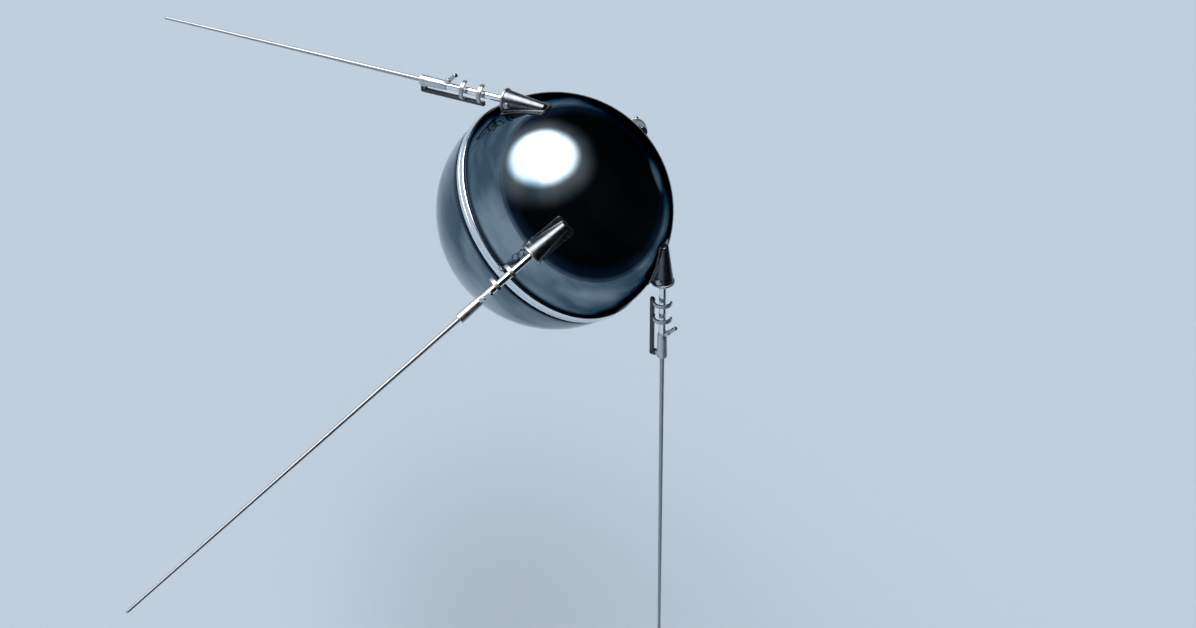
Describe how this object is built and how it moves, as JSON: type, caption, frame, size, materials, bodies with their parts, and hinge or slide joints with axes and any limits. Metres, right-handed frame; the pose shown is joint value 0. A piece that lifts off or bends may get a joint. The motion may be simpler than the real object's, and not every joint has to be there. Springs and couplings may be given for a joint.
{
  "type": "spherical satellite",
  "caption": "Polished metal sphere in two halves with an equatorial flange, carrying spring-opened whip antennas that trail from conical horns.",
  "frame": {"origin": "centre of the sphere, where the free-flight hold is", "axes": "+Z through the nose of the front half; the antennas trail towards -Z, in the XZ and YZ planes; antenna 2 leans towards +X"},
  "size_m": [2.1415, 2.1415, 1.0799],
  "materials": {
    "polished_shield": "mirror polished",
    "polished_shell": "mirror polished",
    "machined_fitting": "machined",
    "battery_case": "plain",
    "cast_fitting": "satin casting",
    "steel_pin": "ground",
    "bright_rod": "bright drawn",
    "turned_sleeve": "fine turned",
    "steel_lever": "satin",
    "steel_rail": "dull satin",
    "drawn_whip": "drawn"
  },
  "bodies": {
    "root": {"front_heat_shield": "polished_shield", "front_half_shell": "polished_shell", "rear_half_shell": "polished_shell", "separation_seat": "machined_fitting", "battery_block": "battery_case", "horn_1": "cast_fitting", "pivot_pin_1": "steel_pin", "horn_2": "cast_fitting", "pivot_pin_2": "steel_pin", "horn_3": "cast_fitting", "pivot_pin_3": "steel_pin", "horn_4": "cast_fitting", "pivot_pin_4": "steel_pin"},
    "antenna_1": {"root_rod_1": "bright_rod", "sleeve_1": "turned_sleeve", "lever_1": "steel_lever", "rail_1": "steel_rail", "whip_1": "drawn_whip"},
    "antenna_2": {"root_rod_2": "bright_rod", "sleeve_2": "turned_sleeve", "lever_2": "steel_lever", "rail_2": "steel_rail", "whip_2": "drawn_whip"},
    "antenna_3": {"root_rod_3": "bright_rod", "sleeve_3": "turned_sleeve", "lever_3": "steel_lever", "rail_3": "steel_rail", "whip_3": "drawn_whip"},
    "antenna_4": {"root_rod_4": "bright_rod", "sleeve_4": "turned_sleeve", "lever_4": "steel_lever", "rail_4": "steel_rail", "whip_4": "drawn_whip"}
  },
  "joints": [
    {"name": "antenna_1_fold", "type": "hinge", "parent": "root", "child": "antenna_1", "pos_m": [0, -0.28394, 0.12481], "axis": [1, 0, 0], "range_deg": [0, 12], "stiffness_Nm_per_rad": 20, "springref_deg": -28.65},
    {"name": "antenna_2_fold", "type": "hinge", "parent": "root", "child": "antenna_2", "pos_m": [0.28394, 0, 0.12481], "axis": [0, 1, 0], "range_deg": [0, 12], "stiffness_Nm_per_rad": 20, "springref_deg": -28.65},
    {"name": "antenna_3_fold", "type": "hinge", "parent": "root", "child": "antenna_3", "pos_m": [0, 0.28394, 0.12481], "axis": [-1, 0, 0], "range_deg": [0, 12], "stiffness_Nm_per_rad": 20, "springref_deg": -28.65},
    {"name": "antenna_4_fold", "type": "hinge", "parent": "root", "child": "antenna_4", "pos_m": [-0.28394, 0, 0.12481], "axis": [0, -1, 0], "range_deg": [0, 12], "stiffness_Nm_per_rad": 20, "springref_deg": -28.65}
  ]
}
